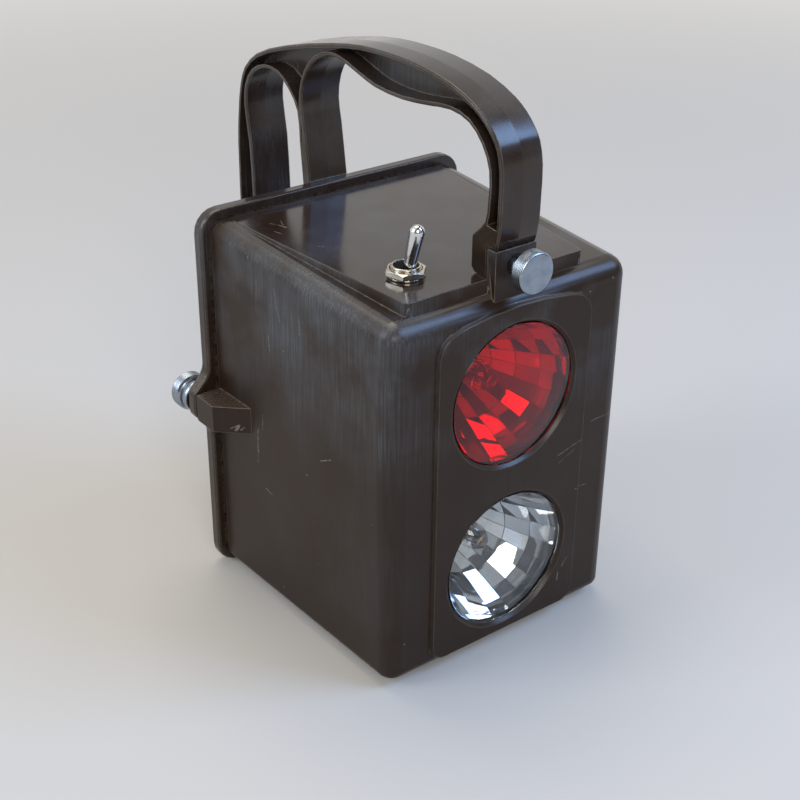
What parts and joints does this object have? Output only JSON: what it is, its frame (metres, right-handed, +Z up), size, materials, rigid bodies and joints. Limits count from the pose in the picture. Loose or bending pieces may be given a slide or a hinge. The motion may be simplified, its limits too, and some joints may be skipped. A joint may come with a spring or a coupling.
{
  "type": "railway signal lantern",
  "caption": "Box-shaped hand signal lantern with a red and a clear lens over faceted reflectors, a toggle switch, and a lid moulded with the carrying handle and belt hook.",
  "frame": {"origin": "centre of the overall box, at the level of the surface the lantern stands on", "axes": "+Z up; +Y from the lens side to the lid side; +X to the right as seen from the lens side"},
  "size_m": [0.153, 0.1896, 0.2352],
  "materials": {
    "battery": "plain card jacket",
    "battery_pad": "black foam rubber",
    "case": "satin moulded brown-black plastic with a fine wear haze",
    "clamp_screw_1": "plated screw",
    "clamp_screw_2": "plated screw",
    "clamp_screw_3": "plated screw",
    "clamp_screw_4": "plated screw",
    "clear_bulb": "clear glass",
    "clear_bulb_cap": "rolled brass",
    "clear_bulb_holder": "moulded black",
    "clear_lamp_wire": "insulated wire",
    "clear_lens": "clear flat disc",
    "clear_lens_gasket": "matt black ring",
    "clear_reflector": "silvered facets",
    "front_insert": "knurled insert",
    "front_switch_tag": "tinned tag",
    "front_thumb_screw": "turned and knurled",
    "lamp_contact_strip": "spring brass strip",
    "left_insert": "knurled insert",
    "left_thumb_screw": "turned and knurled",
    "lid_seal": "matt black sealing strip",
    "middle_switch_tag": "tinned tag",
    "negative_battery_terminal": "plated spring wire",
    "negative_contact": "flat brass plate",
    "negative_wire": "insulated wire",
    "positive_battery_terminal": "plated spring wire",
    "positive_contact": "flat brass plate",
    "positive_wire": "insulated wire",
    "rear_lid": "satin moulded brown-black plastic, handle and lid in one",
    "rear_switch_tag": "tinned tag",
    "red_bulb": "clear glass",
    "red_bulb_cap": "rolled brass",
    "red_bulb_holder": "moulded black",
    "red_lamp_wire": "insulated wire",
    "red_lens": "deep red flat disc",
    "red_lens_gasket": "matt black ring",
    "red_reflector": "silvered facets",
    "reflector_clamp": "plated sheet",
    "right_insert": "knurled insert",
    "right_thumb_screw": "turned and knurled",
    "switch_back_nut": "nickel plated",
    "switch_body": "moulded black",
    "switch_bushing": "nickel plated",
    "switch_lever": "polished",
    "switch_nut": "nickel plated",
    "switch_washer": "nickel plated",
    "terminal_board": "brown laminated board"
  },
  "bodies": {
    "case": {"battery": "battery", "case": "case", "clamp_screw_1": "clamp_screw_1", "clamp_screw_2": "clamp_screw_2", "clamp_screw_3": "clamp_screw_3", "clamp_screw_4": "clamp_screw_4", "clear_bulb": "clear_bulb", "clear_bulb_cap": "clear_bulb_cap", "clear_bulb_holder": "clear_bulb_holder", "clear_lamp_wire": "clear_lamp_wire", "clear_lens": "clear_lens", "clear_lens_gasket": "clear_lens_gasket", "clear_reflector": "clear_reflector", "front_switch_tag": "front_switch_tag", "lamp_contact_strip": "lamp_contact_strip", "left_insert": "left_insert", "middle_switch_tag": "middle_switch_tag", "negative_battery_terminal": "negative_battery_terminal", "negative_contact": "negative_contact", "negative_wire": "negative_wire", "positive_battery_terminal": "positive_battery_terminal", "positive_contact": "positive_contact", "positive_wire": "positive_wire", "rear_switch_tag": "rear_switch_tag", "red_bulb": "red_bulb", "red_bulb_cap": "red_bulb_cap", "red_bulb_holder": "red_bulb_holder", "red_lamp_wire": "red_lamp_wire", "red_lens": "red_lens", "red_lens_gasket": "red_lens_gasket", "red_reflector": "red_reflector", "reflector_clamp": "reflector_clamp", "right_insert": "right_insert", "switch_back_nut": "switch_back_nut", "switch_body": "switch_body", "switch_bushing": "switch_bushing", "switch_nut": "switch_nut", "switch_washer": "switch_washer", "terminal_board": "terminal_board"},
    "lid": {"rear_lid": "rear_lid", "lid_seal": "lid_seal", "battery_pad": "battery_pad", "front_insert": "front_insert"},
    "front_screw": {"front_thumb_screw": "front_thumb_screw"},
    "left_screw": {"left_thumb_screw": "left_thumb_screw"},
    "right_screw": {"right_thumb_screw": "right_thumb_screw"},
    "lever": {"switch_lever": "switch_lever"}
  },
  "joints": [
    {"name": "lid_slide", "type": "slide", "parent": "case", "child": "lid", "axis": [0, 1, 0], "range_m": [0, 0.08]},
    {"name": "front_screw_turn", "type": "hinge", "parent": "case", "child": "front_screw", "pos_m": [0, -0.08675, 0.1703], "axis": [0, 1, 0], "continuous": true},
    {"name": "left_screw_turn", "type": "hinge", "parent": "lid", "child": "left_screw", "pos_m": [-0.0683, 0.03925, 0.0844], "axis": [0, 1, 0], "continuous": true},
    {"name": "right_screw_turn", "type": "hinge", "parent": "lid", "child": "right_screw", "pos_m": [0.0683, 0.03925, 0.0844], "axis": [0, 1, 0], "continuous": true},
    {"name": "switch_throw", "type": "hinge", "parent": "case", "child": "lever", "pos_m": [-0.0316, -0.05805, 0.1619], "axis": [1, 0, 0], "range_deg": [-32, 0]}
  ]
}
